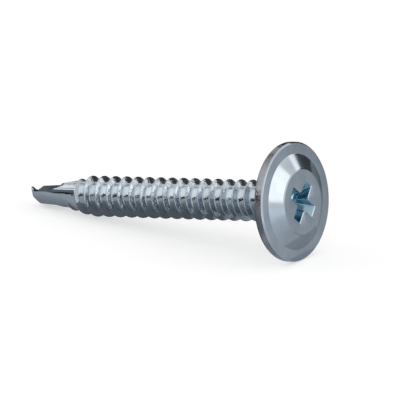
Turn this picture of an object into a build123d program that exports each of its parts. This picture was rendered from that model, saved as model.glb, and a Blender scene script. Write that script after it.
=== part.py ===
from build123d import *
from math import atan2, cos, degrees, radians, sin, tan
import os

os.makedirs("parts", exist_ok=True)

# Self drilling screw with a wide, low head and a cross recess. It is one piece of steel:
# a forged head and point, a rolled thread, zinc plated all over.
# It is formed upright: its axis is Z, the bearing face under the head is at z = 0,
# the head is above it and the shank below. The cutting lips of the point lie along X.

# Head
head_d = 11.77
flange_h = 1.05
rim_front_bevel = 0.14
rim_back_bevel = 0.30
rim_back_bevel_mid = 0.09
boss_base_d = 9.45
boss_top_d = 6.55
boss_h = 0.82
boss_bevel = 0.08
neck_cone = 0.40

# Cross recess for a size 2 driver
recess_turn = 65
wing_span = 4.15
wing_w = 1.15
wing_bottom_span = 2.30
wing_bottom_w = 0.95
wing_depth = 1.70
recess_web_w = 2.00
recess_web_bottom_w = 1.35
recess_point_angle = 118

# Thread: 4.2 mm tapping thread, right hand, 60 degrees between the flanks
major_d = 4.14
minor_d = 3.05
pitch = 1.40
flank_angle = 30
thread_start_z = -27.58
turns_in_run = 4
thread_runs = 5
root_bury = 0.16
full_thread_top_z = -3.10
full_thread_bottom_z = -23.65
run_out_top_z = -1.85
run_out_top_d = 2.80
run_in_bottom_z = -27.20
run_in_bottom_d = 2.40

# Drill point
core_end_z = -25.00
chisel_z = -30.93
point_r = 1.67
pinch_r = 2.30
pinch_turn = -25
pinch_start_angle = 11.5
pinch_end_h = 1.06
pinch_end_z = -28.00
pinch_end_angle = 3.8
point_angle = 136
lip_clearance = 7
heel_start_y = 0.25
heel_relief = 45
rake_edge_h = 0.42
web_corner_x = 0.25
web_corner_h = 0.12
web_corner_round = 0.25
heel_top_x = -0.35
heel_top_h = 1.15
flute_end_z = -27.90
flute_exit_angle = 42
flute_exit_side = -41
flute_reach = 2.60
lip_rise = 0.28
lip_turn = 8
lip_t = 0.25
lip_l = 1.60

# How the screw lies on a level surface
rest_turn = 254.1

head_r = head_d / 2
core_r = minor_d / 2
crest_r = major_d / 2
head_h = flange_h + boss_h

# Head and plain shank, turned about the axis
with BuildPart() as blank:
    with BuildSketch(Plane.XZ) as blank_half:
        with BuildLine():
            Polyline(
                (0, core_end_z),
                (core_r, core_end_z),
                (core_r, -neck_cone),
                (core_r + neck_cone, 0),
                (head_r - rim_back_bevel, 0),
                (head_r - rim_back_bevel_mid, rim_back_bevel_mid),
                (head_r, rim_back_bevel),
                (head_r, flange_h - rim_front_bevel),
                (head_r - rim_front_bevel, flange_h),
                (boss_base_d / 2, flange_h),
                (boss_top_d / 2, head_h - boss_bevel),
                (boss_top_d / 2 - boss_bevel, head_h),
                (0, head_h),
                close=True,
            )
        make_face()
    revolve(axis=Axis.Z)

# The stock in front of one cutting lip. The lip falls back from the chisel edge at the
# middle by half the point angle, the land behind it by the clearance angle, and the heel
# of the land by a steeper relief.
lip_fall = 1 / tan(radians(point_angle / 2))
land_fall = tan(radians(lip_clearance))
heel_fall = tan(radians(heel_relief))
heel_start_z = chisel_z + heel_start_y * land_fall
with BuildPart() as lip_front:
    with BuildSketch(Plane(origin=(0, 0, chisel_z), z_dir=(-lip_fall, -land_fall, 1))):
        Rectangle(4 * flute_reach, 4 * flute_reach)
    extrude(amount=-2 * flute_reach)
    with BuildSketch(Plane(origin=(0, heel_start_y, heel_start_z), z_dir=(-lip_fall, -heel_fall, 1))):
        Rectangle(4 * flute_reach, 4 * flute_reach)
    extrude(amount=-2 * flute_reach)

# The room between a pair of round dies that pinch the point from both sides. They close
# steeply at first, then run almost parallel, and leave a lens shaped section.
point_l = core_end_z - chisel_z
with BuildPart() as die_room:
    for h, z, angle in ((core_r, core_end_z, pinch_start_angle), (pinch_end_h, pinch_end_z, pinch_end_angle)):
        with BuildPart() as lens:
            with Locations(Rotation(0, 0, pinch_turn)):
                for side, mode in ((-1, Mode.ADD), (1, Mode.INTERSECT)):
                    with Locations(Location((0, side * h, z), (-side * angle, 0, 0))):
                        with Locations((0, -side * pinch_r, 0)):
                            Cylinder(pinch_r, 3 * point_l, mode=mode)

# The point: a slightly flared stub of the shank, pinched wide along the lips, and cut off
# in front of both lips
with BuildPart() as point:
    with Locations((0, 0, core_end_z)):
        Cone(point_r, core_r, point_l, align=(Align.CENTER, Align.CENTER, Align.MAX))
    add(die_room.part, mode=Mode.INTERSECT)
    for half_turn in (0, 180):
        add(lip_front.part, rotation=(0, 0, half_turn), mode=Mode.SUBTRACT)

# Thread ridge: a sharp wedge carried along a helix, its foot buried in the shank
ridge_h = crest_r - core_r
foot_half_w = (ridge_h + root_bury) * tan(radians(flank_angle))
run_h = pitch * turns_in_run
with BuildPart() as ridge:
    with BuildLine() as ridge_path:
        for run in range(thread_runs):
            Helix(pitch, run_h, core_r, center=(0, 0, thread_start_z + run * run_h))
    ridge_start = Plane(origin=(core_r, 0, thread_start_z), x_dir=(1, 0, 0), z_dir=(0, 1, 0))
    with BuildSketch(ridge_start):
        with BuildLine():
            Polyline(
                (-root_bury, -foot_half_w),
                (ridge_h, 0),
                (-root_bury, foot_half_w),
                close=True,
            )
        make_face()
    sweep(path=ridge_path.wires()[0], is_frenet=True)

# The room the rolling dies leave for the crest: it closes under the head and on the point
with BuildPart() as thread_room:
    with BuildSketch(Plane.XZ):
        with BuildLine():
            Polyline(
                (0, run_out_top_z),
                (run_out_top_d / 2, run_out_top_z),
                (crest_r, full_thread_top_z),
                (crest_r + ridge_h, full_thread_top_z - pitch),
                (crest_r + ridge_h, full_thread_bottom_z + pitch),
                (crest_r, full_thread_bottom_z),
                (run_in_bottom_d / 2, run_in_bottom_z),
                (0, run_in_bottom_z),
                close=True,
            )
        make_face()
    revolve(axis=Axis.Z)

with BuildPart() as thread:
    add(ridge.part)
    add(thread_room.part, mode=Mode.INTERSECT)

# One flute: a flat rake face, a rounded corner at the web and the wall of the far heel.
# The cutter runs straight up the point, then climbs out through the side.
out_x = sin(radians(flute_exit_angle)) * cos(radians(flute_exit_side))
out_y = sin(radians(flute_exit_angle)) * sin(radians(flute_exit_side))
out_z = cos(radians(flute_exit_angle))
flute_exit_l = flute_reach / sin(radians(flute_exit_angle))
with BuildPart() as flute:
    with BuildLine() as flute_path:
        Polyline(
            (0, 0, chisel_z - lip_l),
            (0, 0, flute_end_z),
            (flute_exit_l * out_x, flute_exit_l * out_y, flute_end_z + flute_exit_l * out_z),
        )
    with BuildSketch(Plane.XY.offset(chisel_z - lip_l)) as flute_section:
        with BuildLine():
            Polyline(
                (flute_reach, -rake_edge_h),
                (web_corner_x, -web_corner_h),
                (heel_top_x, -heel_top_h),
                (heel_top_x, -flute_reach),
                (flute_reach, -flute_reach),
                close=True,
            )
        make_face()
        web_corner = flute_section.vertices().sort_by_distance((web_corner_x, -web_corner_h, 0))[0]
        fillet(web_corner, web_corner_round)
    sweep(path=flute_path.wires()[0], transition=Transition.RIGHT)

# Behind the lip the flute is cut deeper, which leaves the cutting lip standing a little proud
with BuildPart() as deep_flute:
    add(flute.part)
    add(lip_front.part.moved(Location((0, 0, lip_t))), mode=Mode.SUBTRACT)

# At the lips the same section is cut, set out from the web by the height of the lip and
# turned a little, so the outer corner of the lip stands proudest
with BuildPart() as lip_flute:
    with BuildSketch(Plane.XY.offset(chisel_z - lip_l)):
        add(flute_section.sketch.moved(Location((0, -lip_rise, 0), (0, 0, -lip_turn))))
    extrude(amount=2 * lip_l)

# Cross recess: two tapered slots across each other, a tapered web and a drilled bottom
recess_floor_z = head_h - wing_depth
with BuildPart() as slot:
    with BuildSketch(Plane.XY.offset(head_h)):
        Rectangle(wing_span, wing_w)
    with BuildSketch(Plane.XY.offset(recess_floor_z)):
        Rectangle(wing_bottom_span, wing_bottom_w)
    loft()

with BuildPart() as recess_web:
    with BuildSketch(Plane.XY.offset(head_h)):
        Rectangle(recess_web_w, recess_web_w, rotation=45)
    with BuildSketch(Plane.XY.offset(recess_floor_z)):
        Rectangle(recess_web_bottom_w, recess_web_bottom_w, rotation=45)
    loft()

recess_point_h = wing_bottom_w / 2 / tan(radians(recess_point_angle / 2))
with BuildPart() as recess_point:
    with Locations((0, 0, recess_floor_z)):
        Cone(0, wing_bottom_w / 2, recess_point_h, align=(Align.CENTER, Align.CENTER, Align.MAX))

# The whole screw, still upright
with BuildPart() as screw:
    add(blank.part)
    add(point.part)
    add(thread.part)
    for half_turn in (0, 180):
        add(deep_flute.part, rotation=(0, 0, half_turn), mode=Mode.SUBTRACT)
        add(lip_flute.part, rotation=(0, 0, half_turn), mode=Mode.SUBTRACT)
    for quarter_turn in (0, 90):
        add(slot.part, rotation=(0, 0, recess_turn + quarter_turn), mode=Mode.SUBTRACT)
    add(recess_web.part, rotation=(0, 0, recess_turn), mode=Mode.SUBTRACT)
    add(recess_point.part, mode=Mode.SUBTRACT)

# It lies on the rim of its head and on the lip or the thread crest that touches first. The
# crest is the last full one to turn downwards.
down_turn = 360 - rest_turn
rest_crest_z = thread_start_z + pitch * (down_turn / 360 + 2)
crest_fade = (full_thread_bottom_z - rest_crest_z) / (full_thread_bottom_z - run_in_bottom_z)
rest_crest_r = crest_r - crest_fade * (crest_r - run_in_bottom_d / 2)
turned = screw.part.rotate(Axis.Z, rest_turn)
touching = [(rest_crest_r, rest_crest_z)]
touching += [(corner.X, corner.Z) for corner in turned.vertices() if corner.Z < flute_end_z]
rest_tilt = min(degrees(atan2(head_r - down, rim_back_bevel - z)) for down, z in touching)

lying = turned.rotate(Axis.Y, 90 - rest_tilt)
box = lying.bounding_box()
with BuildPart() as self_drilling_screw:
    add(lying.moved(Location((-box.center().X, -box.center().Y, -box.min.Z))))
self_drilling_screw.part.label = "self_drilling_screw"
export_step(self_drilling_screw.part, "parts/self_drilling_screw.step")
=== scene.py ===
# %% [markdown]
# # A self drilling screw, dressed in zinc
#
# The screw is one piece of steel: a wide, low head with a cross recess is forged on one
# end of a wire, a drill point is pinched on the other, and a coarse thread is rolled in
# between. The solid could simply be given a better material, but its facets and sharp
# edges would show in so bright a metal. So this lesson builds the screw again in the same
# place, as one closed and finer mesh, and plates that.

from math import cos, pi, radians, sin, sqrt, tan

import bmesh
import bpy
from mathutils import Matrix, Vector


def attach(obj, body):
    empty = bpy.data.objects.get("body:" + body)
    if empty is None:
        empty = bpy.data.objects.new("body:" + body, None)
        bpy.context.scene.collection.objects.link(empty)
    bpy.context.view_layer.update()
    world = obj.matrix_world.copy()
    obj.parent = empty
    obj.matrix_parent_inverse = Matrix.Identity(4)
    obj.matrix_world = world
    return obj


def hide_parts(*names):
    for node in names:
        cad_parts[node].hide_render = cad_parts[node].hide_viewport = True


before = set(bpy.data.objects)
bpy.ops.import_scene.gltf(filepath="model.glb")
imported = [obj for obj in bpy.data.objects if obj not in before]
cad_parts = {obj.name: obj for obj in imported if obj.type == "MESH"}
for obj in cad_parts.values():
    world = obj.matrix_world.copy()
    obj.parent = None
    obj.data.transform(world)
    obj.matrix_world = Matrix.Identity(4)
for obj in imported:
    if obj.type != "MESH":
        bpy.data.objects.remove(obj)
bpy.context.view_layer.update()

# %% [markdown]
# ## Where everything sits
#
# The real screw lies on the rim of its head and on one crest near the point, so its axis
# is tilted. Each part could be modelled in that pose, but a screw is easier to think
# about upright: the axis is Z, the bearing face under the head is at zero, and the head
# is above it. So all parts are made upright, in millimetres, and one matrix lays the
# finished screw down. No part needs fitting after that.

# %% From the upright screw in millimetres to the lying screw in metres
# The tilt is the angle at which the rim and the crest both touch the table. The middle
# of the bearing face then lies at bearing_centre.
rest_turn = 254.1
rest_tilt = 8.770166773339172
bearing_centre = Vector((14.136457555625974, 0.0, 5.770450746066457))

lay_down = (
    Matrix.Scale(0.001, 4)
    @ Matrix.Translation(bearing_centre)
    @ Matrix.Rotation(radians(90 - rest_tilt), 4, "Y")
    @ Matrix.Rotation(radians(rest_turn), 4, "Z")
)
print("screw axis:", tuple(round(v, 4) for v in (lay_down.to_3x3() @ Vector((0, 0, 1000)))))

# %% [markdown]
# ## Tools for outlines
#
# No forged, rolled or pressed edge is sharp: each has the radius of its die. A bevel at
# the very end could round them, but it trips over the thin faces that a Boolean leaves.
# Rounding each outline before it is turned or pressed is surer, so that is the first
# tool. The others put an outline into a mesh, make a finished mesh an object, and let a
# size change evenly along the screw.

# %% Round the corners of an outline
def softened(corners, steps):
    """An outline with an arc at each corner.

    A corner is its two coordinates and its radius. With a radius of 0 it stays sharp."""
    out = []
    for i, (across, along, radius) in enumerate(corners):
        here = Vector((across, along))
        if not radius:
            out.append(here)
            continue
        back = (Vector(corners[i - 1][:2]) - here).normalized()
        ahead = (Vector(corners[(i + 1) % len(corners)][:2]) - here).normalized()
        half = back.angle(ahead) / 2
        centre = here + (back + ahead).normalized() * (radius / sin(half))
        start = (here + back * (radius / tan(half)) - centre).normalized()
        end = (here + ahead * (radius / tan(half)) - centre).normalized()
        for step in range(steps + 1):
            out.append(centre + start.slerp(end, step / steps) * radius)
    return out


print("a square with round corners:",
      len(softened([(0, 0, 1), (9, 0, 1), (9, 9, 1), (0, 9, 1)], steps=4)), "points")


# %% Put an outline into a mesh
def line_of(bm, places, closed=False):
    """The outline's vertices, and the edges that join them in a row or in a ring."""
    verts = [bm.verts.new(place) for place in places]
    edges = [bm.edges.new(pair) for pair in zip(verts, verts[1:])]
    if closed:
        edges.append(bm.edges.new((verts[-1], verts[0])))
    return verts, edges


# %% Make a finished mesh an object
same_point = 1e-5


def piece_of(bm, name):
    """Merges doubled points, turns the faces outwards, and counts the edges left open."""
    bmesh.ops.remove_doubles(bm, verts=bm.verts, dist=same_point)
    bmesh.ops.recalc_face_normals(bm, faces=bm.faces)
    open_edges = sum(1 for edge in bm.edges if len(edge.link_faces) != 2)
    mesh = bpy.data.meshes.new(name)
    bm.to_mesh(mesh)
    bm.free()
    piece = bpy.data.objects.new(name, mesh)
    bpy.context.scene.collection.objects.link(piece)
    print(name, len(mesh.polygons), "faces,", open_edges, "open edges")
    return piece


# %% The vertices among what an operator made
def verts_in(geom):
    return [v for v in geom if isinstance(v, bmesh.types.BMVert)]


# %% A size that changes evenly along the screw
def between(z, low, high, at_low, at_high):
    """Goes straight from at_low to at_high between two heights, and stays there beyond."""
    t = min(1, max(0, (z - low) / (high - low)))
    return at_low + (at_high - at_low) * t


print("halfway from 10 to 20:", between(0.5, 0, 1, 10, 20))

# %% [markdown]
# ## Head
#
# The head is cold forged: a wide flange that bears on the sheet, with a low boss in the
# middle, all of it round. It could be stacked from cylinders and cones, but then each
# bevel would be a job of its own. A spun half profile gives them all at once, and the
# arcs in the profile are the radii of the forging die.

# %% Head sizes
head_r = 5.885
head_h = 1.87
flange_h = 1.05
boss_base_r = 4.725
boss_top_r = 3.275
boss_bevel = 0.08
rim_front_bevel = 0.14
rim_back_bevel = 0.30
rim_back_bevel_mid = 0.09
core_r = 1.525
neck_cone = 0.40
print("head", 2 * head_r, "mm across and", head_h, "mm high")

# %% Half profile of the head
# Each row is a radius, a height and the round of that corner. The face is left open
# inside its ring for the recess. The stub of the neck leans in a little, so that it ends
# inside the shank and the two walls don't coincide.
face_ring_r = 2.95
neck_stub_z = -1.00
neck_lean = 0.012

head_profile = softened([
    (face_ring_r, head_h, 0),
    (boss_top_r - boss_bevel, head_h, 0.05),
    (boss_top_r, head_h - boss_bevel, 0.05),
    (boss_base_r, flange_h, 0.07),
    (head_r - rim_front_bevel, flange_h, 0.09),
    (head_r, flange_h - rim_front_bevel, 0.09),
    (head_r, rim_back_bevel, 0.25),
    (head_r - rim_back_bevel_mid, rim_back_bevel_mid, 0.22),
    (head_r - rim_back_bevel, 0.0, 0.25),
    (core_r + neck_cone, 0.0, 0.10),
    (core_r, -neck_cone, 0.25),
    (core_r - neck_lean, neck_stub_z, 0),
], steps=6)
print("half profile:", len(head_profile), "points")

# %% Spin the profile
head_steps = 192

head = bmesh.new()
verts, edges = line_of(head, [(r, 0, z) for r, z in head_profile])
bmesh.ops.spin(head, geom=verts + edges, cent=(0, 0, 0), axis=(0, 0, 1), dvec=(0, 0, 0),
               angle=2 * pi, steps=head_steps, use_merge=True, use_normal_flip=False,
               use_duplicate=False)
bmesh.ops.remove_doubles(head, verts=head.verts, dist=same_point)
face_rim = [e for e in head.edges if e.is_boundary and e.verts[0].co.z > 0]
neck_rim = [e for e in head.edges if e.is_boundary and e.verts[0].co.z < 0]
bmesh.ops.holes_fill(head, edges=neck_rim, sides=0)
print("head:", len(head.faces), "faces, with", len(face_rim), "open edges for the recess")

# %% [markdown]
# ## Cross recess
#
# The driver's cross is punched while the head is forged: four tapered wings, a tapered
# web between them, and a drilled bottom. A Boolean could cut it, but would leave its
# mouth sharp. Its walls lean, so its outline only changes with depth, and that makes it
# a loft: one closed outline for each depth, bridged to the next. The first few follow
# the small round at the mouth, which catches the light.

# %% Recess sizes: a wing is given by its span from tip to tip and its width
recess_turn = 65
recess_depth = 1.70
mouth_round = 0.08
wing_span_top, wing_w_top = 4.15, 1.15
wing_span_floor, wing_w_floor = 2.30, 0.95
web_w_top, web_w_floor = 2.00, 1.35
least_web = 0.01
wing_corner_round = 0.09
web_corner_round = 0.035
drilled_h = 0.28
print("recess", recess_depth + drilled_h, "mm deep")


# %% Outline of the cross at one depth
def cross_at(depth, grow):
    """The outline of the cross at a depth under the face, moved outwards by grow."""
    tip = between(depth, 0, recess_depth, wing_span_top, wing_span_floor) / 2 + grow
    side = between(depth, 0, recess_depth, wing_w_top, wing_w_floor) / 2 + grow
    web = between(depth, 0, recess_depth, web_w_top, web_w_floor) / 2 + grow
    inner = max(web * sqrt(2) - side, side + least_web)
    wing = ((inner, -side, web_corner_round), (tip, -side, wing_corner_round),
            (tip, side, wing_corner_round), (inner, side, web_corner_round))
    corners = []
    for quarter in range(4):
        turned = Matrix.Rotation(radians(recess_turn + 90 * quarter), 2)
        corners += [(*(turned @ Vector((x, y))), radius) for x, y, radius in wing]
    return softened(corners, steps=3)


def cross_ring(depth, grow):
    """That outline as a closed ring of edges in the head."""
    places = [(x, y, head_h - depth) for x, y in cross_at(depth, grow)]
    return line_of(head, places, closed=True)[1]


# %% Loft the cross into the face
mouth_steps = 4
wall_steps = 6

rings = []
for step in range(mouth_steps + 1):
    angle = radians(90 * step / mouth_steps)
    rings.append(cross_ring(mouth_round * (1 - cos(angle)), mouth_round * (1 - sin(angle))))
for step in range(1, wall_steps + 1):
    rings.append(cross_ring(mouth_round + (recess_depth - mouth_round) * step / wall_steps, 0))
bmesh.ops.triangle_fill(head, use_beauty=True, use_dissolve=False, edges=face_rim + rings[0])
for upper, lower in zip(rings, rings[1:]):
    bmesh.ops.bridge_loops(head, edges=upper + lower)
floor_face = bmesh.ops.holes_fill(head, edges=rings[-1], sides=0)["faces"]
drilled = bmesh.ops.poke(head, faces=floor_face)["verts"]
bmesh.ops.translate(head, verts=drilled, vec=(0, 0, -drilled_h))
head_piece = piece_of(head, "head")

# %% [markdown]
# ## Thread
#
# The thread is rolled between two dies, which press its valley in and squeeze its crest
# up. A wedge swept along a helix could make it, but leaves a seam between ridge and
# shank. So one pitch of the whole profile, half a root, flank, crest, flank, half a root,
# is spun about the axis while it climbs by a pitch. The turns then join without a seam,
# and the crest can fade out where the dies run off the wire.

# %% Thread sizes
crest_r = 2.07
pitch = 1.40
flank_angle = radians(30)
crest_flat = 0.06
crest_round = 0.09
root_round = 0.16
ridge_foot = (crest_r - core_r) * tan(flank_angle)

thread_profile = softened([
    (core_r, -pitch / 2, 0),
    (core_r, -ridge_foot, root_round),
    (crest_r, -crest_flat, crest_round),
    (crest_r, crest_flat, crest_round),
    (core_r, ridge_foot, root_round),
    (core_r, pitch / 2, 0),
], steps=4)
print("one pitch of", pitch, "mm:", len(thread_profile), "points")

# %% Roll one turn, and repeat it
thread_start_z = -28.98
thread_turns = 22
turn_steps = 120
seam_gap = 1e-4

shank = bmesh.new()
verts, edges = line_of(shank, [(r, 0, thread_start_z + z) for r, z in thread_profile])
bmesh.ops.spin(shank, geom=verts + edges, cent=(0, 0, 0), axis=(0, 0, 1),
               dvec=(0, 0, pitch / turn_steps), angle=2 * pi, steps=turn_steps,
               use_merge=False, use_normal_flip=False, use_duplicate=False)
one_turn = shank.verts[:] + shank.edges[:] + shank.faces[:]
for turn in range(1, thread_turns):
    copy = bmesh.ops.duplicate(shank, geom=one_turn)["geom"]
    bmesh.ops.translate(shank, verts=verts_in(copy), vec=(0, 0, turn * pitch))
bmesh.ops.remove_doubles(shank, verts=shank.verts, dist=seam_gap)
print(thread_turns, "turns:", len(shank.faces), "faces")

# %% Let the crest fade out at both ends, and sink the root into the point
crest_full_z = (-23.65, -3.10)
crest_gone_z = (-27.20, -1.85)
crest_end_r = 1.20
root_full_z = -24.90
root_sunk_z = -26.40
root_sunk_r = 0.85


def rolled_radius(r, z):
    """Where a point of the profile ends up at this height on the screw."""
    root = between(z, root_sunk_z, root_full_z, root_sunk_r, core_r)
    crest = min(between(z, crest_gone_z[0], crest_full_z[0], crest_end_r, crest_r),
                between(z, crest_full_z[1], crest_gone_z[1], crest_r, core_r))
    return root + (max(crest, root) - root) * (r - core_r) / (crest_r - core_r)


for vert in shank.verts:
    r = vert.co.xy.length
    vert.co.xy *= rolled_radius(r, vert.co.z) / r
print("full crest over", round(crest_full_z[1] - crest_full_z[0], 2), "mm")

# %% Cut the shank to length, and close both ends
# It ends inside the neck cone of the head, and deep inside the point.
shank_bottom_z = -27.3
shank_top_z = -0.25
on_plane = 1e-6

for height, outwards in ((shank_bottom_z, -1), (shank_top_z, 1)):
    geom = shank.verts[:] + shank.edges[:] + shank.faces[:]
    bmesh.ops.bisect_plane(shank, geom=geom, dist=on_plane, plane_co=(0, 0, height),
                           plane_no=(0, 0, outwards), clear_outer=True)
    end = [e for e in shank.edges
           if e.is_boundary and abs(e.verts[0].co.z - height) < seam_gap]
    bmesh.ops.holes_fill(shank, edges=end, sides=0)
shank_piece = piece_of(shank, "threaded_shank")

# %% [markdown]
# ## Drill point
#
# The point is pinched between two dies that leave it lens shaped, and its flutes and
# lips are pressed in at the same time. It could be shaped vertex by vertex, but its faces
# all come from simple dies. So it is made in the order of the metal: a stub, squeezed
# between two pairs of round dies, cut off in front of both lips, and then fluted.

# %% Point sizes
chisel_z = -30.93
core_end_z = -25.00
point_l = core_end_z - chisel_z
point_r = 1.67
pinch_r = 2.30
pinch_turn = radians(-25)
# The gap that each pair of dies leaves beside the axis, at what height, and its slope
pinch_dies = ((core_r, core_end_z, radians(11.5)), (1.06, -28.00, radians(3.8)))
print("point", round(point_l, 2), "mm long")


# %% A Boolean between two pieces, applied at once
def combined(piece, tool, operation):
    """Joins, cuts or intersects a closed piece with a closed tool, which is used up."""
    boolean = piece.modifiers.new(operation.lower(), "BOOLEAN")
    boolean.operation = operation
    boolean.solver = "MANIFOLD"
    boolean.object = tool
    bpy.context.view_layer.update()
    graph = bpy.context.evaluated_depsgraph_get()
    result = bpy.data.meshes.new_from_object(piece.evaluated_get(graph))
    piece.modifiers.clear()
    old = piece.data
    piece.data = result
    bpy.data.meshes.remove(old)
    bpy.data.objects.remove(tool)
    print(operation.lower(), "leaves", len(result.polygons), "faces")
    return piece


# %% The stub, slightly flared
# It is longer than the point at both ends, so that the cuts pass through it, and its
# flare goes on below. Its top is thinner than the shank by a hair, so that the two walls
# cross and don't coincide.
stub_extra = 1.2
stub_rise = 0.7
stub_bottom_r = point_r + 0.011
stub_top_r = core_r - 0.006
stub_steps = 160

stub = bmesh.new()
stub_middle = core_end_z + stub_rise - (point_l + stub_extra) / 2
bmesh.ops.create_cone(stub, cap_ends=True, segments=stub_steps, radius1=stub_bottom_r,
                      radius2=stub_top_r, depth=point_l + stub_extra,
                      matrix=Matrix.Translation((0, 0, stub_middle)))
stub_piece = piece_of(stub, "stub")


# %% Pinch it between the dies
die_steps = 256


def die_room(gap, z, slope):
    """The lens shaped room between two round dies."""
    sides = []
    for side in (-1, 1):
        die = bmesh.new()
        place = (
            Matrix.Rotation(pinch_turn, 4, "Z")
            @ Matrix.Translation((0, side * gap, z))
            @ Matrix.Rotation(-side * slope, 4, "X")
            @ Matrix.Translation((0, -side * pinch_r, 0))
        )
        bmesh.ops.create_cone(die, cap_ends=True, segments=die_steps, radius1=pinch_r,
                              radius2=pinch_r, depth=3 * point_l, matrix=place)
        sides.append(piece_of(die, "die"))
    return combined(sides[0], sides[1], "INTERSECT")


rooms = [die_room(*dies) for dies in pinch_dies]
combined(stub_piece, combined(rooms[0], rooms[1], "UNION"), "INTERSECT")

# %% The planes in front of one lip
# The lip falls back from the middle by half the point angle, the land behind it by the
# clearance angle, and the heel of the land by a steeper relief.
point_angle = radians(136)
clearance = radians(7)
heel_relief = radians(45)
heel_start_y = 0.25

lip_fall = 1 / tan(point_angle / 2)
land_fall = tan(clearance)
heel_fall = tan(heel_relief)
front_planes = (
    (Vector((0, 0, chisel_z)), Vector((-lip_fall, -land_fall, 1))),
    (Vector((0, heel_start_y, chisel_z + heel_start_y * land_fall)),
     Vector((-lip_fall, -heel_fall, 1))),
)


def cut_front(bm, above):
    """Takes away what is in front of one lip and its heel, and closes the cuts."""
    for place, upwards in front_planes:
        geom = bm.verts[:] + bm.edges[:] + bm.faces[:]
        cut = bmesh.ops.bisect_plane(bm, geom=geom, dist=on_plane, clear_inner=True,
                                     plane_co=place + Vector((0, 0, above)), plane_no=upwards)
        rim = [e for e in cut["geom_cut"] if isinstance(e, bmesh.types.BMEdge) and e.is_boundary]
        bmesh.ops.holes_fill(bm, edges=rim, sides=0)


# %% Cut off in front of both lips
half_turn = Matrix.Rotation(pi, 4, "Z")

stub = bmesh.new()
stub.from_mesh(stub_piece.data)
bpy.data.objects.remove(stub_piece)
cut_front(stub, 0)
bmesh.ops.transform(stub, verts=stub.verts, matrix=half_turn)
cut_front(stub, 0)
bmesh.ops.transform(stub, verts=stub.verts, matrix=half_turn)
stub_piece = piece_of(stub, "stub")

# %% [markdown]
# ## Flutes and lips
#
# A flute carries the chips away. Its section is a flat rake face, a rounded corner at
# the web and the wall of the far heel. It runs straight up the point and climbs out
# through the side. Near the lip it is a little shallower, so the cutting lip stands
# proud. Moving vertices could only hint at this, while a cutter with that section,
# pressed through the point, leaves the real edges.

# %% Flute sizes
flute_reach = 2.60
flute_end_z = -27.90
flute_exit_angle = radians(42)
flute_exit_side = radians(-41)
lip_t = 0.25
lip_l = 1.6
lip_rise = 0.28
lip_turn = radians(8)

rake_edge_y = -0.42
web_corner = (0.25, -0.12)
web_round = 0.25
heel_top = (-0.35, -1.15)

flute_section = softened([
    (flute_reach, rake_edge_y, 0),
    (*web_corner, web_round),
    (*heel_top, 0),
    (heel_top[0], -flute_reach, 0),
    (flute_reach, -flute_reach, 0),
], steps=6)
climb = Vector((
    sin(flute_exit_angle) * cos(flute_exit_side),
    sin(flute_exit_angle) * sin(flute_exit_side),
    cos(flute_exit_angle),
))
mitre = (climb + Vector((0, 0, 1))).normalized()
print("the flute climbs out along", tuple(round(v, 2) for v in climb))


# %% The two cutters
def cutter_start(bm):
    """The flute's section as one face, below the point."""
    return bm.faces.new([bm.verts.new((x, y, chisel_z - lip_l)) for x, y in flute_section])


def flute_cutter():
    """Straight up to the mitre, then out through the side, and held back behind the lip."""
    bm = bmesh.new()
    grown = bmesh.ops.extrude_face_region(bm, geom=[cutter_start(bm)])["geom"]
    for vert in verts_in(grown):
        vert.co.z = flute_end_z - (mitre.x * vert.co.x + mitre.y * vert.co.y) / mitre.z
    inside = [f for f in grown if isinstance(f, bmesh.types.BMFace)]
    grown = bmesh.ops.extrude_face_region(bm, geom=inside)["geom"]
    bmesh.ops.translate(bm, verts=verts_in(grown),
                        vec=climb * flute_reach / sin(flute_exit_angle))
    bmesh.ops.delete(bm, geom=inside, context="FACES_ONLY")
    cut_front(bm, lip_t)
    return bm


def lip_cutter():
    """The same section, set out by the height of the lip and turned a little."""
    bm = bmesh.new()
    section = cutter_start(bm)
    bmesh.ops.rotate(bm, verts=bm.verts, cent=(0, 0, 0),
                     matrix=Matrix.Rotation(-lip_turn, 3, "Z"))
    bmesh.ops.translate(bm, verts=bm.verts, vec=(0, -lip_rise, 0))
    grown = bmesh.ops.extrude_face_region(bm, geom=[section])["geom"]
    bmesh.ops.translate(bm, verts=verts_in(grown), vec=(0, 0, 2 * lip_l))
    return bm


# %% Join the stub to the shank, and press the flutes
combined(shank_piece, stub_piece, "UNION")
for make in (flute_cutter, lip_cutter):
    for turned in (Matrix.Identity(4), half_turn):
        cutter = make()
        bmesh.ops.transform(cutter, verts=cutter.verts, matrix=turned)
        combined(shank_piece, piece_of(cutter, "cutter"), "DIFFERENCE")

# %% [markdown]
# ## One closed screw
#
# The real screw is one piece, so its mesh is one closed surface too. Head and shank
# could be left as two meshes that overlap, but then the neck would show a line. So they
# are joined, and the slivers that the joining left are merged.

# %% Join the head, and clean up
weld_gap = 2e-4
sliver = 1e-4

combined(shank_piece, head_piece, "UNION")
body = bmesh.new()
body.from_mesh(shank_piece.data)
bpy.data.objects.remove(shank_piece)
bmesh.ops.remove_doubles(body, verts=body.verts, dist=weld_gap)
bmesh.ops.dissolve_degenerate(body, dist=sliver, edges=body.edges)
print("joined screw:", len(body.faces), "faces")

# %% [markdown]
# ## A finish for each place
#
# The whole screw is plated in one bath, but doesn't look the same all over: the head was
# pressed smooth, the thread was rolled, the rim was left rough and the recess held the bath
# longest. The flutes are given a dark finish, which is painted shade for the shade deep in
# them. The finishes could blend into each other by height, but on the real screw they
# change at an edge. So each face gets its finish by where it lies, while the screw is
# still upright.

# %% How deep a place lies under the pinched surface of the point
pinch_back = Matrix.Rotation(-pinch_turn, 3, "Z")


def pinch_depth(place):
    """In millimetres. Faces of the flutes lie deeper than those that the dies left."""
    turned = pinch_back @ place
    room = max(gap - (z - place.z) * tan(slope) for gap, z, slope in pinch_dies)
    return pinch_r - Vector((turned.x, abs(turned.y) + pinch_r - room)).length


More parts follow.
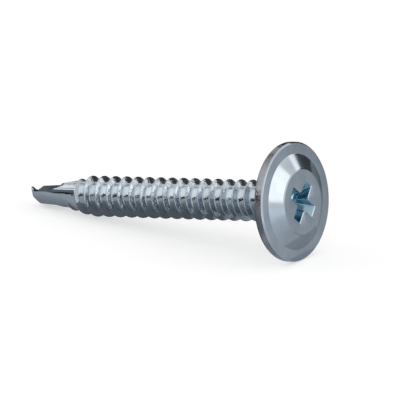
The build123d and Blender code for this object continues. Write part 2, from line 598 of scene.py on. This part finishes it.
# %% Which finish goes where
# A face deep in the point belongs to a flute, unless it looks at the tip: then it is a
# lip. The recess lies inside a cone that opens towards the face of the head.
forged, rolled, recessed, rimmed, fluted = range(5)
rolled_z = (-27.1, -0.45)
flute_top_z = -26.2
flute_depth = 0.04
lip_facing = -0.25
recess_floor_r = 1.2
recess_lean = 0.55
recess_top_z = head_h - 0.05
rim_front_z = 0.92
rim_inner_r = head_r - 0.13


def finish_at(place, normal):
    """The number of the finish of a face, from its middle and its direction."""
    r, z = place.xy.length, place.z
    # The faces of the flutes get the dark zinc that paints their shade.
    if z < flute_top_z and pinch_depth(place) > flute_depth and normal.z > lip_facing:
        return fluted
    if rolled_z[0] < z < rolled_z[1]:
        return rolled
    if 0 <= z < recess_top_z and r < recess_floor_r + recess_lean * z:
        return recessed
    if 0 <= z < rim_front_z and r > rim_inner_r:
        return rimmed
    return forged


for face in body.faces:
    face.material_index = finish_at(face.calc_center_median(), face.normal)
print("faces of each finish:",
      [sum(1 for face in body.faces if face.material_index == slot) for slot in range(5)])

# %% [markdown]
# ## Smooth skin, and down on the table
#
# Forged and rolled steel flows from face to face and has few real corners, most of them
# at the lips and the flutes. Flat shading would show every facet, and smooth shading
# alone would blur the lips. So all faces are smooth and only the steep edges are sharp.
# Then the mesh itself is laid down, and its object stays at the origin.

# %% Lay it down
sharp_corner = radians(32)

bmesh.ops.transform(body, matrix=lay_down, verts=body.verts)
for face in body.faces:
    face.smooth = True
for edge in body.edges:
    edge.smooth = not (len(edge.link_faces) == 2 and edge.calc_face_angle(0) > sharp_corner)
open_edges = sum(1 for edge in body.edges if len(edge.link_faces) != 2)
print("screw:", len(body.faces), "faces,", open_edges, "open edges,",
      "volume", round(body.calc_volume() * 1e9, 2), "mm3")

# %% Put it in the place of the solid
mesh = bpy.data.meshes.new("zinc_plated_screw")
body.to_mesh(mesh)
body.free()
screw = bpy.data.objects.new("zinc_plated_screw", mesh)
bpy.context.scene.collection.objects.link(screw)
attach(screw, "root")
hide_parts("self_drilling_screw")
print(screw.name, "stands for the solid")

# %% [markdown]
# ## Zinc plate
#
# Bright zinc is plated on in a bath and passivated, which leaves a thin bluish film. To
# the eye it is a real metal: cool grey and fairly glossy, so that it mirrors the room,
# with soft clouds in the film, low waves in the steel under it, and a fine grain. Images
# could give it those, but they would have to be wrapped round the screw. Three noises,
# each at the size of one of those things, need no wrapping and do for all five finishes.

# %% Colour and node helpers
def linear(hex_colour):
    """An sRGB hex colour as linear values, with alpha 1."""
    out = []
    for i in (1, 3, 5):
        c = int(hex_colour[i:i + 2], 16) / 255
        out.append(c / 12.92 if c <= 0.04045 else ((c + 0.055) / 1.055) ** 2.4)
    return (*out, 1.0)


def empty_tree(holder):
    """The node tree of a material or a world, with nothing in it."""
    holder.use_nodes = True
    holder.node_tree.nodes.clear()
    return holder.node_tree


def add_node(tree, kind, settings=(), **links):
    """Adds a node with its settings, and gives its inputs other sockets or values.

    An input goes by its name, or by its number after a low line."""
    node = tree.nodes.new(kind)
    for name, value in dict(settings).items():
        setattr(node, name, value)
    for name, value in links.items():
        number = name[1:]
        socket = node.inputs[int(number) if number.isdigit() else name.replace("_", " ")]
        if isinstance(value, bpy.types.NodeSocket):
            tree.links.new(value, socket)
        else:
            socket.default_value = value
    return node


print("mid grey in linear values:", [round(v, 3) for v in linear("#808080")])

# %% Zinc
# The film thins and thickens over a few millimetres. The crystals of the plate are a few
# thousandths of a millimetre wide, too fine to show, so the grain is drawn at 0.12 mm.
film_mm = 2.2
grain_mm = 0.12


def zinc(name, dark, light, smooth, dull, wave_mm, wave_depth_mm, grain_depth_mm):
    """Bright zinc plate between two tints and two roughnesses, over waves in the steel."""
    material = bpy.data.materials.new(name)
    tree = empty_tree(material)
    coords = add_node(tree, "ShaderNodeTexCoord").outputs["Object"]
    film = add_node(tree, "ShaderNodeTexNoise", Vector=coords, Scale=1000 / film_mm, Detail=3.0)
    waves = add_node(tree, "ShaderNodeTexNoise", Vector=coords, Scale=1000 / wave_mm, Detail=2.0)
    grain = add_node(tree, "ShaderNodeTexNoise", Vector=coords, Scale=1000 / grain_mm, Detail=1.0)
    tint = add_node(tree, "ShaderNodeValToRGB", Fac=film.outputs["Fac"])
    tint.color_ramp.elements[0].position = 0.35
    tint.color_ramp.elements[0].color = linear(dark)
    tint.color_ramp.elements[1].position = 0.70
    tint.color_ramp.elements[1].color = linear(light)
    gloss = add_node(tree, "ShaderNodeMapRange", Value=waves.outputs["Fac"], From_Min=0.3,
                     From_Max=0.7, To_Min=smooth, To_Max=dull)
    swell = add_node(tree, "ShaderNodeBump", Strength=1.0, Distance=wave_depth_mm / 1000,
                     Height=waves.outputs["Fac"])
    bump = add_node(tree, "ShaderNodeBump", Strength=1.0, Distance=grain_depth_mm / 1000,
                    Height=grain.outputs["Fac"], Normal=swell.outputs["Normal"])
    skin = add_node(tree, "ShaderNodeBsdfPrincipled", Base_Color=tint.outputs["Color"],
                    Metallic=1.0, Roughness=gloss.outputs["Result"],
                    Normal=bump.outputs["Normal"])
    add_node(tree, "ShaderNodeOutputMaterial", Surface=skin.outputs["BSDF"])
    print("material", material.name, len(tree.nodes), "nodes")
    return material


# %% The five finishes
# Forged head: pressed against a polished die, so its waves are wide and very low. It is
# nearly a mirror, and its cone and flats read as even greys.
on_head = zinc("zinc_on_forged_head", "#bcc6cf", "#ccd5dc", smooth=0.10, dull=0.17,
               wave_mm=1.6, wave_depth_mm=0.0025, grain_depth_mm=0.0005)

# Rolled thread: the dies drag the steel and leave marks about 0.1 mm wide, which break
# the reflections up. At that width they wouldn't show, so they are drawn at 0.26 mm.
on_thread = zinc("zinc_on_rolled_thread", "#b4bfc8", "#c9d2d9", smooth=0.07, dull=0.15,
                 wave_mm=0.26, wave_depth_mm=0.036, grain_depth_mm=0.0020)

# Recess: the passivating bath stands in it and leaves a thicker film, which is clearly
# blue. Its waves are the marks of the punch, about half a millimetre wide.
in_recess = zinc("blue_zinc_in_recess", "#93b4c3", "#b4cdd7", smooth=0.10, dull=0.18,
                 wave_mm=0.60, wave_depth_mm=0.006, grain_depth_mm=0.0006)

# Rim: the steel bulges out between the dies there and isn't pressed by either, so it is
# duller and darker, with a slightly warm, crumbled look. Its marks are drawn coarser too.
on_rim = zinc("zinc_on_rim", "#85888e", "#aaa9af", smooth=0.14, dull=0.26,
              wave_mm=0.26, wave_depth_mm=0.034, grain_depth_mm=0.0025)

# Flutes: a dull blue-black, which is painted shade for the shade deep in the hollows of
# the flutes. Its waves are those of the pinching die.
in_flutes = zinc("zinc_in_flutes_painted_dark", "#3a4249", "#575f66", smooth=0.18, dull=0.30,
                 wave_mm=0.50, wave_depth_mm=0.010, grain_depth_mm=0.0020)

# In the order of forged, rolled, recessed, rimmed and fluted
for finish in (on_head, on_thread, in_recess, on_rim, in_flutes):
    screw.data.materials.append(finish)

# %% [markdown]
# ## Camera
#
# Small hardware looks best through a long lens from half a metre away, so that the head
# and the point look equally large. A camera could be aimed at a target, but two angles
# round the screw and the offset of its head from the middle of the frame are easier to
# adjust one by one.

# %% Camera directions and place, in millimetres
view_azimuth = radians(34.5436)
view_elevation = radians(17.5278)
lens_distance = 500.0
head_right = 9.3994
head_down = 0.1725

look_back = Vector((
    sin(view_azimuth) * cos(view_elevation),
    -cos(view_azimuth) * cos(view_elevation),
    sin(view_elevation),
))
look_right = Vector((cos(view_azimuth), sin(view_azimuth), 0))
look_up = look_back.cross(look_right)
screw_axis = Vector((cos(radians(rest_tilt)), 0, sin(radians(rest_tilt))))
flange_front = bearing_centre + flange_h * screw_axis
eye = flange_front - head_right * look_right + head_down * look_up + lens_distance * look_back
print("eye, mm:", tuple(round(v, 1) for v in eye))

# %% Camera
lens = bpy.data.cameras.new("long_lens")
lens.sensor_width = 36
lens.lens = 459.56
lens.clip_start = 0.01
camera = bpy.data.objects.new("camera", lens)
look = Matrix((look_right, look_up, look_back)).transposed().to_4x4()
camera.matrix_world = Matrix.Translation(eye * 0.001) @ look
bpy.context.scene.collection.objects.link(camera)
bpy.context.scene.camera = camera
bpy.context.scene.view_settings.view_transform = "Standard"
print("lens", round(lens.lens), "mm, from", lens_distance, "mm away")

# %% [markdown]
# ## Floor and backdrop
#
# The screw lies on plain white paper in a plain white room. A bright floor could be had
# with more light, but that would wash the metal out. So the paper and the room glow a
# little for the camera and for reflections only, which makes them white, and the paper
# still takes a soft shadow.


# %% Where the glow shows
def seen_directly(tree):
    """1 where a ray comes from the camera, a mirror or through glass, and 0 elsewhere."""
    path = add_node(tree, "ShaderNodeLightPath")
    either = add_node(tree, "ShaderNodeMath", {"operation": "MAXIMUM"},
                      _0=path.outputs["Is Camera Ray"], _1=path.outputs["Is Glossy Ray"])
    return add_node(tree, "ShaderNodeMath", {"operation": "MAXIMUM"},
                    _0=either.outputs[0], _1=path.outputs["Is Transmission Ray"]).outputs[0]


# %% Floor: matt white paper, which shows nothing but the shadow
floor_half = 0.6
paper_glow = 0.55

floor = bmesh.new()
bmesh.ops.create_grid(floor, x_segments=2, y_segments=2, size=floor_half)
floor = piece_of(floor, "floor")
paper = bpy.data.materials.new("white_paper")
tree = empty_tree(paper)
matte = add_node(tree, "ShaderNodeBsdfDiffuse", Color=linear("#f4f4f2"))
lift = add_node(tree, "ShaderNodeMath", {"operation": "MULTIPLY"},
                _0=seen_directly(tree), _1=paper_glow)
glow = add_node(tree, "ShaderNodeEmission", Strength=lift.outputs[0])
both = add_node(tree, "ShaderNodeAddShader", _0=matte.outputs[0], _1=glow.outputs[0])
add_node(tree, "ShaderNodeOutputMaterial", Surface=both.outputs[0])
floor.data.materials.append(paper)

# %% World: a white room, which gives about half the light that it shows
room_light = 0.55
room_white = 1.0

room = bpy.data.worlds.new("white_room")
tree = empty_tree(room)
level = add_node(tree, "ShaderNodeMapRange", Value=seen_directly(tree),
                 To_Min=room_light, To_Max=room_white)
glow = add_node(tree, "ShaderNodeBackground", Strength=level.outputs["Result"])
add_node(tree, "ShaderNodeOutputWorld", Surface=glow.outputs[0])
bpy.context.scene.world = room
print("the room gives", room_light, "and shows as", room_white)

# %% [markdown]
# ## Light
#
# Bright metal shows what stands round it, and in a white room it would be white all
# over. Lamps alone could only make it brighter. So three softboxes give it its lights,
# and grey and black cards, standing and lying, give it its darks; the lying cards are a
# painted shadow of the screw on the paper. Only mirror-like surfaces see the cards: the
# camera and the paper don't, and they cast no shadow.

# %% Places round the screw
screw_middle = Vector((0.002, 0.0, 0.005))


def round_the_screw(right, up, back, distance):
    """A place seen from the screw, in the directions of the camera's own axes."""
    direction = (look_right * right + look_up * up + look_back * back).normalized()
    return screw_middle + direction * distance


def aimed(position):
    """The matrix of a lamp or card at this place that faces the screw."""
    direction = screw_middle - position
    return Matrix.Translation(position) @ direction.to_track_quat("-Z", "Y").to_matrix().to_4x4()


# %% Softboxes: one large on each side, and a strip for the edge of the boss
def softbox(name, position, width, height, level):
    """An area lamp that a mirror would show at this level, where 1 is white."""
    lamp = bpy.data.lights.new(name, "AREA")
    lamp.shape = "RECTANGLE"
    lamp.size, lamp.size_y = width, height
    lamp.energy = level * pi * width * height
    holder = bpy.data.objects.new(name, lamp)
    holder.matrix_world = aimed(position)
    bpy.context.scene.collection.objects.link(holder)
    print(name, round(lamp.energy, 2), "W")


softbox("left_softbox", round_the_screw(-0.80, 0.52, 0.10, 0.5),
        width=0.50, height=0.46, level=0.36)
softbox("right_softbox", round_the_screw(0.78, 0.30, 0.42, 0.5),
        width=0.34, height=0.34, level=0.75)
softbox("strip_softbox", round_the_screw(0.78, 0.58, -0.21, 0.5),
        width=0.08, height=0.16, level=0.7)

# %% A card that only mirror-like surfaces see
cool_grey = (0.93, 1.0, 1.08)


def card(name, bm, direction, stops):
    """A card with a grey graded along a direction.

    The stops are pairs of a place in millimetres and a level, where 1 is white."""
    piece = piece_of(bm, name)
    card_glow = bpy.data.materials.new(name + "_felt")
    tree = empty_tree(card_glow)
    coords = add_node(tree, "ShaderNodeTexCoord").outputs["Object"]
    along = add_node(tree, "ShaderNodeVectorMath", {"operation": "DOT_PRODUCT"},
                     _0=coords, _1=[1000 * v for v in direction])
    first, last = stops[0][0], stops[-1][0]
    place = add_node(tree, "ShaderNodeMapRange", Value=along.outputs["Value"],
                     From_Min=first, From_Max=last)
    ramp = add_node(tree, "ShaderNodeValToRGB", Fac=place.outputs["Result"])
    while len(ramp.color_ramp.elements) < len(stops):
        ramp.color_ramp.elements.new(0.5)
    for element, (where, level) in zip(ramp.color_ramp.elements, stops):
        element.position = (where - first) / (last - first)
        element.color = (*(level * part for part in cool_grey), 1)
    shade = add_node(tree, "ShaderNodeEmission", Color=ramp.outputs["Color"])
    add_node(tree, "ShaderNodeOutputMaterial", Surface=shade.outputs[0])
    piece.data.materials.append(card_glow)
    piece.visible_camera = piece.visible_diffuse = piece.visible_shadow = False


# %% Standing cards
# The black card behind darkens the tops of the crests and the grey one the right side of
# the rim. The strip makes the dark line along the shank, and the gap overhead parts the
# two lights on the cone of the boss.
def standing_card(name, position, width, height, level):
    """An evenly grey card that faces the screw, by its size in metres."""
    bm = bmesh.new()
    bmesh.ops.create_grid(bm, x_segments=1, y_segments=1, size=0.5)
    bmesh.ops.scale(bm, vec=(width, height, 1), verts=bm.verts)
    bmesh.ops.transform(bm, matrix=aimed(position), verts=bm.verts)
    card(name, bm, (0, 0, 1), [(0, level), (1, level)])


standing_card("black_card_behind", round_the_screw(0.42, 0.42, -0.80, 0.5),
              width=0.62, height=0.46, level=0.06)
standing_card("grey_card_right", round_the_screw(0.93, 0.02, -0.34, 0.4),
              width=0.24, height=0.16, level=0.42)
standing_card("dark_strip_left", round_the_screw(-0.93, 0.09, 0.32, 0.45),
              width=0.90, height=0.110, level=0.02)
standing_card("dark_gap_overhead", round_the_screw(-0.37, 0.81, -0.45, 0.45),
              width=0.04, height=0.50, level=0.08)


# %% Cards that lie on the table: a painted shadow
# They are a painted shadow of the screw on the paper. Mirror-like surfaces see them under
# the screw, because the paper itself glows white for them. They darken all that faces
# down, most of all close to the screw. The sizes are in millimetres. The heights differ a
# little, so that no two cards coincide.
far = 400
across_view = (0.786, -0.606, 0)
towards_front = (0, -1, 0)


def painted_shadow_card(name, x_range, y_range, height, direction, stops):
    """A card between two x and two y: a painted shadow, graded from dark by the screw to paler
    away from it.
    """
    (left, right), (near, back) = x_range, y_range
    corners = ((left, near), (right, near), (right, back), (left, back))
    bm = bmesh.new()
    bm.faces.new([bm.verts.new((x / 1000, y / 1000, height / 1000)) for x, y in corners])
    card(name, bm, direction, stops)


painted_shadow_card("painted_shadow_by_head", (-far, far), (-far, far), 0.02, across_view,
           [(-8, 0.18), (5, 0.38), (15, 0.44), (47, 0.90)])
painted_shadow_card("painted_shadow_under_head", (14, 18.5), (-1.5, 9), 0.04, (1, 0, 0),
           [(14, 0.26), (18.5, 0.32)])
painted_shadow_card("painted_shadow_by_shank", (-11, 12.5), (-far, 2), 0.03, towards_front,
           [(0, 0.13), (8, 0.22), (21, 0.42)])
painted_shadow_card("painted_shadow_by_point", (-far, -11), (-far, 2), 0.03, towards_front,
           [(0, 0.20), (3, 0.44)])
